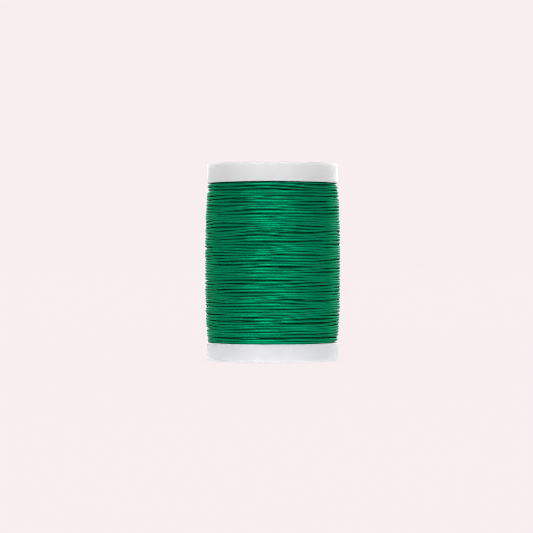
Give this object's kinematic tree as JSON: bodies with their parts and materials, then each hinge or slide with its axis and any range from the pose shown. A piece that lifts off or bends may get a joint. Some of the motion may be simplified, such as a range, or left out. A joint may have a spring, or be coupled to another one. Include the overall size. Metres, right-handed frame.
{
  "type": "spool of thread",
  "caption": "Small round white spool with smooth flanges, blank end labels and a through hole, wound full of thick glossy green sewing thread whose end lies in a slit in the top flange.",
  "frame": {"origin": "centre of the bottom end face, on the spool's axis", "axes": "+Z along the spool's axis, towards the flange with the catch slit"},
  "size_m": [0.0247, 0.0247, 0.0359],
  "materials": {
    "white_plastic": "satin",
    "natural_plastic": "satin",
    "label_paper": "matte",
    "green_thread": "satin"
  },
  "bodies": {
    "root": {"barrel": "natural_plastic", "spindle_tube": "natural_plastic", "top_flange": "white_plastic", "bottom_flange": "white_plastic", "top_label": "label_paper", "bottom_label": "label_paper", "thread_winding": "green_thread", "thread_tail": "green_thread"}
  },
  "joints": []
}
